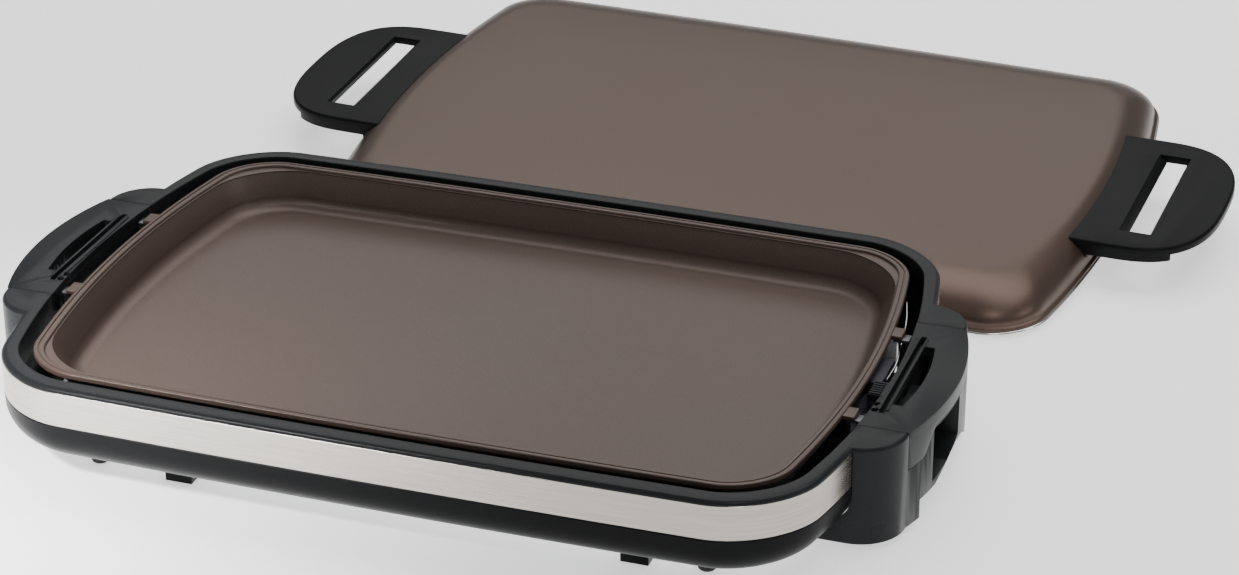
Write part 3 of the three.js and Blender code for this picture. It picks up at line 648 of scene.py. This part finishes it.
def makeFrame():
    under, foot, wall = frameSizes["under"], frameSizes["foot"], frameSizes["wall"]
    across, down = frameSizes["outerRound"]
    inner, corner = frameSizes["innerRound"], frameSizes["footRound"]
    rows = arcRows(bodyPlan, (across, under), (-across, down), 0, 90, 7)
    rows += arcRows(wellPlan, (-inner, frameSizes["innerStart"]), (inner, inner), 90, 0, 4)
    rows += [
        (wellPlan, 0, foot + corner), (wellPlan, -corner, foot), (wellPlan, -wall, foot),
        (wellPlan, -wall, under), (bodyPlan, frameSizes["ledge"], under),
    ]
    ring = sweptPiece("bodyFrame", rows, True)
    envelope = sweptPiece("envelope", envelopeRows(0.3), False)
    well = sweptPiece("well", [(wellPlan, -1.2, 40), (wellPlan, -1.2, 70)], False)
    combine(ring, makePod(envelope, well, True), "UNION")
    plainPod = makePod(envelope, well, False)
    combine(ring, mirrored(plainPod, "leftPod"), "UNION")
    for extra in (envelope, well, plainPod):
        bpy.data.objects.remove(extra)
    for side in (1, -1):
        combine(ring, recessBox(side), "DIFFERENCE")
    roundEdges(ring, frameSizes["edge"], 2, 40)
    return ring


baseShell = makeBaseShell()
for side in (1, -1):
    combine(baseShell, recessBox(side), "DIFFERENCE")
combine(baseShell, socketBox(), "DIFFERENCE")
settle(baseShell, bodySeat, "guard", materials["black_plastic"], ["base_shell"])

bodyFrame = makeFrame()
settle(bodyFrame, bodySeat, "guard", materials["satin_plastic"], ["body_frame"])
print("body frame made")


bandSizes = {"thick": 1, "edge": 0.25, "from": 94, "to": 200}


def makeSteelBand(name, y0, y1):
    bottom, top = baseSizes["bandBottom"], baseSizes["bandTop"]
    thick, edge = bandSizes["thick"], bandSizes["edge"]
    rows = [
        (bodyPlan, edge, bottom), (bodyPlan, 0, bottom + edge), (bodyPlan, 0, top - edge),
        (bodyPlan, edge, top), (bodyPlan, thick, top), (bodyPlan, thick, bottom),
    ]
    band = sweptPiece(name, rows, True)
    combine(band, boxPiece("limit", (-300, y0, 38), (300, y1, 66)), "INTERSECT")
    return band


for name, node, y0, y1 in [
    ("steelBandFront", "steel_band_front", -bandSizes["to"], -bandSizes["from"]),
    ("steelBandRear", "steel_band_rear", bandSizes["from"], bandSizes["to"]),
]:
    band = makeSteelBand(name, y0, y1)
    settle(band, bodySeat, "guard", materials["brushed_steel"], [node])
print("steel bands made")


def bandSpots(inner, outer, y0, y1, height, steps):
    ys = spread(y0, y1, steps)
    return [(outer(y), y, height) for y in ys] + [(inner(y), y, height) for y in reversed(ys)]


def makeCover():
    top, plate = coverSizes["top"], coverSizes["plate"]
    half, shoulder = coverSizes["half"], coverSizes["shoulder"]
    lowest = top - coverSizes["endDrop"]
    coverSpots = bandSpots(lambda y: endX(wellPlan, y), handleX, -half, half, top - plate, 32)
    cover = prismPiece("handleCover", coverSpots, (0, 0, plate))
    arch = prismPiece(
        "coverArch",
        bandSpots(lambda y: handleX(y, coverSizes["wall"]), handleX, -half, half, lowest, 32),
        (0, 0, top - plate / 2 - lowest),
    )
    combine(arch, prismPiece("archShape", archSpots(0, 255), (60, 0, 0)), "INTERSECT")
    combine(cover, arch, "UNION")
    for sign in (1, -1):
        spots = bandSpots(
            lambda y: endX(bodyPlan, y) + 1.4, lambda y: handleX(y, 2), shoulder + 2, half, lowest, 4
        )
        spots = [(x, sign * y, z) for x, y, z in spots]
        combine(cover, prismPiece("coverEnd", spots, (0, 0, top - plate / 2 - lowest)), "UNION")
    gripOuter, lip = coverSizes["gripOuter"], coverSizes["gripLip"]
    gripHalf = coverSizes["gripHalf"]
    lipSpots = bandSpots(
        lambda y: handleX(y, gripOuter), lambda y: handleX(y, gripOuter - lip),
        -gripHalf - lip, gripHalf + lip, top - coverSizes["lipDepth"], 16,
    )
    combine(cover, prismPiece("gripLip", lipSpots, (0, 0, coverSizes["lipDepth"] - plate / 2)), "UNION")
    inner = coverSizes["end"] - coverSizes["gripInner"]
    gripSpots = bandSpots(
        lambda y: inner, lambda y: handleX(y, gripOuter), -gripHalf, gripHalf, top - plate - 1, 20
    )
    combine(cover, prismPiece("grip", gripSpots, (0, 0, plate + 3)), "DIFFERENCE")
    slitX = coverSizes["end"] - coverSizes["slitInset"]
    slitEnd = slitX + coverSizes["slitWidth"]
    slitHalf = coverSizes["slitHalf"]
    for barX, wide in ((slitX - 2.6, 2.6), (slitEnd, 1.5)):
        bar = boxPiece("slitBar", (barX, -slitHalf + 3, top - 2), (barX + wide, slitHalf - 3, top + 0.6))
        combine(cover, bar, "UNION")
    slit = boxPiece("slit", (slitX, -slitHalf, top - 4.6), (slitEnd, slitHalf, top + 2))
    combine(cover, slit, "DIFFERENCE")
    for holeX, holeY in ((259.4, -40.5), (260, -47.5)):
        ring = [
            (holeX + 2.2 * math.cos(math.radians(turn)), holeY + 2.2 * math.sin(math.radians(turn)), top - 4)
            for turn in range(0, 360, 20)
        ]
        combine(cover, prismPiece("hole", ring, (0, 0, 6)), "DIFFERENCE")
    return cover


slideSizes = {
    "x": (251.5, 261), "y": (-31, -13.5), "ribX": (251.8, 258.5), "ribs": 6, "firstRib": -30,
    "pitch": 2.7, "ribWide": 1.3, "ribRise": 1.1,
}


# a small ribbed slide stands over the gap at the inner edge of the right cover
def addSlide(cover):
    top = coverSizes["top"]
    (x0, x1), (y0, y1) = slideSizes["x"], slideSizes["y"]
    combine(cover, boxPiece("slide", (x0, y0, top - 4), (x1, y1, top + 0.3)), "UNION")
    ribX0, ribX1 = slideSizes["ribX"]
    for step in range(slideSizes["ribs"]):
        y = slideSizes["firstRib"] + slideSizes["pitch"] * step
        far = (ribX1, y + slideSizes["ribWide"], top + slideSizes["ribRise"])
        combine(cover, boxPiece("slideRib", (ribX0, y, top - 1), far), "UNION")


rightCover = makeCover()
leftCover = mirrored(rightCover, "handleCoverLeft")
rightCover.name = "handleCoverRight"
addSlide(rightCover)
for cover in (rightCover, leftCover):
    roundEdges(cover, 0.9, 3, 40)
for piece, node in [(rightCover, "handle_cover_right"), (leftCover, "handle_cover_left")]:
    settle(piece, bodySeat, "guard", materials["satin_plastic"], [node])
print("handle covers made")


tabSizes = {"y": 53, "half": 6, "in": 1.8, "out": 6.5, "bottom": 62.4, "top": 65.2, "edge": 0.6}


def addTab(plate, sideX, sideY):
    y, half = sideY * tabSizes["y"], tabSizes["half"]
    rim = endX(platePlan, tabSizes["y"])
    x0, x1 = sorted((sideX * (rim - tabSizes["in"]), sideX * (rim + tabSizes["out"])))
    tab = boxPiece("tab", (x0, y - half, tabSizes["bottom"]), (x1, y + half, tabSizes["top"]))
    roundEdges(tab, tabSizes["edge"], 3)
    combine(plate, tab, "UNION")


def makePlate():
    rows = [
        (cavityPlan, 22.5, 36), (cavityPlan, 18, 36.6), (cavityPlan, 14.5, 38.6),
        (cavityPlan, 11.1, 48), (cavityPlan, 3.1, 62.4),
        (platePlan, 0.6, 62.4), (platePlan, 0, 63.2),
    ]
    rows += arcRows(platePlan, (0.9, 65.1), (0.9, 0.9), 180, 90, 4)
    rows += [
        (platePlan, 2.3, 66), (platePlan, 2.55, 65.3), (platePlan, 3.15, 65.3), (platePlan, 3.4, 66),
    ]
    rows += arcRows(platePlan, (5.1, 65.1), (0.9, 0.9), 90, 10, 4)
    rows += [(platePlan, 6.2, 64.3), (cavityPlan, 6.7, 64.0)]
    rows += arcRows(cavityPlan, (7.1, 63.2), (-0.8, 0.6), 80, 0, 3)[1:]
    rows += arcRows(cavityPlan, (22.5, 50), (9, 9), 180, 270, 9)
    plate = sweptPiece("cookingPlate", rows, False)
    for sideX in (1, -1):
        for sideY in (1, -1):
            addTab(plate, sideX, sideY)
    return plate


cookingPlate = makePlate()
settle(cookingPlate, bodySeat, "plate", materials["plate_coating"], ["cooking_plate"])
print("cooking plate made")


lidSizes = {
    "wall": 7, "height": 27.5, "flange": 3.6, "shoulderEnd": 22, "shoulderFront": 40,
    "power": 1.65, "sheet": 1.5, "crown": 60,
}


def shoulderPlan(offset, share):
    foot = lidSizes["flange"] + offset
    return {
        "width": lidPlan["width"] - 2 * (foot + (lidSizes["shoulderEnd"] - offset) * share),
        "depth": lidPlan["depth"] - 2 * (foot + (lidSizes["shoulderFront"] - offset) * share),
        "corner": lidPlan["corner"] - foot - lidPlan["corner"] / 3 * share,
        "endBow": lidPlan["endBow"],
        "frontBow": lidPlan["frontBow"],
    }


def lidRows(offset):
    rise = lidSizes["height"] - 1 - lidSizes["wall"] - offset
    power = 2 / lidSizes["power"]
    rows = [(shoulderPlan(offset - 0.4, 0), 0, 5.6 - offset * 0.4)]
    for angle in spread(0, math.pi / 2, 20):
        share = 1 - max(math.cos(angle), 0) ** power
        rows.append((shoulderPlan(offset, share), 0, lidSizes["wall"] + rise * math.sin(angle) ** power))
    for share in (0.15, 0.35, 0.6, 1):
        lift = 1 - (1 - share) ** 2
        height = lidSizes["height"] - offset - 1 + lift
        rows.append((shoulderPlan(offset, 1), lidSizes["crown"] * share, height))
    return rows


def makeLidShell():
    rows = list(reversed(lidRows(lidSizes["sheet"])))[:-1]
    rows += [(lidPlan, lidSizes["flange"] + lidSizes["sheet"], 3.3)]
    rows += [
        (lidPlan, 1.4, 3.3), (lidPlan, 1.05, 3.6), (lidPlan, 1, 4.0), (lidPlan, 1.15, 4.5),
        (lidPlan, 1.5, 4.9),
    ]
    rows += lidRows(0)
    return sweptPiece("lidShell", rows, False)


def makeLidBand():
    rows = arcRows(lidPlan, (1.5, 1.5), (1.5, 1.5), 270, 90, 10)
    rows += [(lidPlan, 3.0, 3), (lidPlan, 3.2, 2.8), (lidPlan, 3.2, 0.2), (lidPlan, 3.0, 0)]
    return sweptPiece("lidRimBand", rows, True)


handleSizes = {
    "top": 23.6, "thick": 5.5, "half": 79.2, "reach": 68, "straight": 7, "power": 2.7,
    "slotHalf": 57, "slotOuter": 39.5, "slotInner": 54.5, "slotSlope": 6.5, "slotLip": 2,
    "skirtWide": 10, "skirtDrop": 5, "skirtEnd": 18, "rootReach": 6, "rootHalf": 62, "end": 272,
    "rootBottom": 6, "inward": 0.42,
}


def lidHandleSpots(inset, height):
    straight = handleSizes["end"] + handleSizes["straight"]
    reach = handleSizes["reach"] - handleSizes["straight"] - inset
    half = handleSizes["half"] - inset
    power = 2 / handleSizes["power"]
    spots = []
    for angle in spread(-math.pi / 2, math.pi / 2, 56):
        sine = math.sin(angle)
        x = straight + reach * max(math.cos(angle), 0) ** power
        spots.append((x, half * math.copysign(abs(sine) ** power, sine), height))
    start = handleSizes["end"] - handleSizes["reach"] * handleSizes["inward"]
    return [(start, -half, height), *spots, (start, half, height)]


def makeLidHandle():
    top, thick = handleSizes["top"], handleSizes["thick"]
    lowest = top - thick
    end, reach = handleSizes["end"], handleSizes["reach"]
    inside = end - reach * handleSizes["inward"]
    handle = prismPiece("lidHandle", lidHandleSpots(0, lowest), (0, 0, thick))
    roundTop(handle, top, 2.2, 6)
    half = handleSizes["half"] - 0.6
    skirtX = end + reach - handleSizes["skirtEnd"]
    drop, wide = handleSizes["skirtDrop"], handleSizes["skirtWide"]
    skirt = prismPiece("skirt", lidHandleSpots(0.6, lowest - drop), (0, 0, drop + 1))
    hollow = boxPiece("hollow", (inside - 1, wide - half, -1), (skirtX, half - wide, lowest + 2))
    combine(skirt, hollow, "DIFFERENCE")
    combine(skirt, boxPiece("endCut", (skirtX, -half - 1, -1), (600, half + 1, lowest + 2)), "DIFFERENCE")
    rootHalf, bottom = handleSizes["rootHalf"], handleSizes["rootBottom"]
    rootEnd = end + handleSizes["rootReach"]
    root = boxPiece("root", (inside, -rootHalf, bottom), (rootEnd, rootHalf, lowest + 1))
    combine(skirt, root, "UNION")
    combine(skirt, boxPiece("legs", (inside, -half, bottom), (end - 8, half, lowest + 1)), "UNION")
    combine(handle, skirt, "UNION")
    tip = end + reach
    inner, outer = tip - handleSizes["slotInner"], tip - handleSizes["slotOuter"]
    slotHalf = handleSizes["slotHalf"]
    points = [
        (inner, 4), (outer, 4), (outer, top - 2), (outer + handleSizes["slotLip"], top + 1),
        (inner - handleSizes["slotSlope"], top + 1), (inner, top - 5),
    ]
    slot = prismPiece("slot", [(x, -slotHalf, z) for x, z in points], (0, 2 * slotHalf, 0))
    combine(handle, slot, "DIFFERENCE")
    outside = [(lidPlan, -0.3, -4), (lidPlan, -0.3, 3.3), (lidPlan, 0.7, 5.3)] + lidRows(-0.3)
    combine(handle, sweptPiece("lidSpace", outside, False), "DIFFERENCE")
    roundEdges(handle, 0.6, 3, 40)
    return handle


lidShell = makeLidShell()
settle(lidShell, lidSeat, "lid", materials["lid_coating"], ["lid_shell"])
lidBand = makeLidBand()
settle(lidBand, lidSeat, "lid", materials["bright_steel"], ["lid_rim_band"])
rightLidHandle = makeLidHandle()
leftLidHandle = mirrored(rightLidHandle, "lidHandleLeft")
for piece, node in [(rightLidHandle, "lid_handle_right"), (leftLidHandle, "lid_handle_left")]:
    settle(piece, lidSeat, "lid", materials["black_plastic"], [node])
print("lid made")


for part in frame["record"]["subparts"]:
    node = frame["nodes"][part["node"]]
    if node.hide_render:
        continue
    node.data.materials.clear()
    node.data.materials.append(materials[part["material_slot"]])
    for face in node.data.polygons:
        face.use_smooth = True
    joined = node.modifiers.new("joined", "WELD")
    joined.merge_threshold = 1e-6
    soft = node.modifiers.new("soft", "BEVEL")
    soft.width = 0.25 * mm
    soft.segments = 2
    soft.limit_method = "ANGLE"
    soft.angle_limit = math.radians(40)
    soft.harden_normals = True
print("small parts finished")


bpy.ops.object.select_all(action="DESELECT")
bpy.ops.mesh.primitive_plane_add(size=14, location=(0, 0, -0.0005))
floor = bpy.context.active_object
floor.name = "floor"
floorGlow = {"Emission Color": (1, 1, 1, 1), "Emission Strength": 0.9}
floorMaterial = makeMaterial(
    "paleFloor", grainLook((0.92, 0.92, 0.92), (0.6, 0.7), 0.0, 0.01, 60, 0.0, **floorGlow)
)
floor.data.materials.append(floorMaterial)

world = bpy.data.worlds.new("studio")
bpy.context.scene.world = world
world.use_nodes = True
world.node_tree.nodes["Background"].inputs["Color"].default_value = (1, 1, 1, 1)
world.node_tree.nodes["Background"].inputs["Strength"].default_value = 0.3


def addSoftbox(name, place, aim, size, power):
    light = bpy.data.lights.new(name, "AREA")
    light.shape = "RECTANGLE"
    light.size, light.size_y = size
    light.energy = power
    holder = bpy.data.objects.new(name, light)
    bpy.context.scene.collection.objects.link(holder)
    holder.location = middle + Vector(place)
    holder.rotation_euler = (Vector(aim) - Vector(place)).to_track_quat("-Z", "Y").to_euler()


addSoftbox("topBox", (0.2, 1.1, 2.5), (0, 0, 0), (3.0, 1.6), 45)
addSoftbox("keyBox", (-0.6, 2.3, 1.5), (0, 0.1, 0), (2.4, 0.9), 9)
addSoftbox("rightBox", (2.2, 0.05, 1.2), (0.3, 0.1, 0.1), (0.5, 0.4), 4)
addSoftbox("frontBox", (0.8, -0.9, 1.9), (0.3, 0.1, 0), (0.45, 0.45), 5)

beam = bpy.data.lights.new("floorBeam", "SPOT")
beam.energy = 800
beam.spot_size = math.radians(19)
beam.spot_blend = 1.0
beam.shadow_soft_size = 0.2
beamHolder = bpy.data.objects.new("floorBeam", beam)
bpy.context.scene.collection.objects.link(beamHolder)
beamHolder.location = middle + Vector((-0.7, -1.3, 1.3))
beamHolder.rotation_euler = Vector((0.38, 0.95, -1.3)).to_track_quat("-Z", "Y").to_euler()

eye = {"place": (0.6681, -1.6792, 0.9755), "down": 26.39, "turn": 19.04, "lens": 96.64, "shift": 0.0006}
view = bpy.data.cameras.new("view")
camera = bpy.data.objects.new("view", view)
bpy.context.scene.collection.objects.link(camera)
camera.location = middle + Vector(eye["place"])
camera.rotation_euler = (math.radians(90 - eye["down"]), 0, math.radians(eye["turn"]))
view.lens = eye["lens"]
view.sensor_width = 36
view.shift_x = eye["shift"]
view.clip_end = 50
bpy.context.scene.camera = camera

print("scene ready")
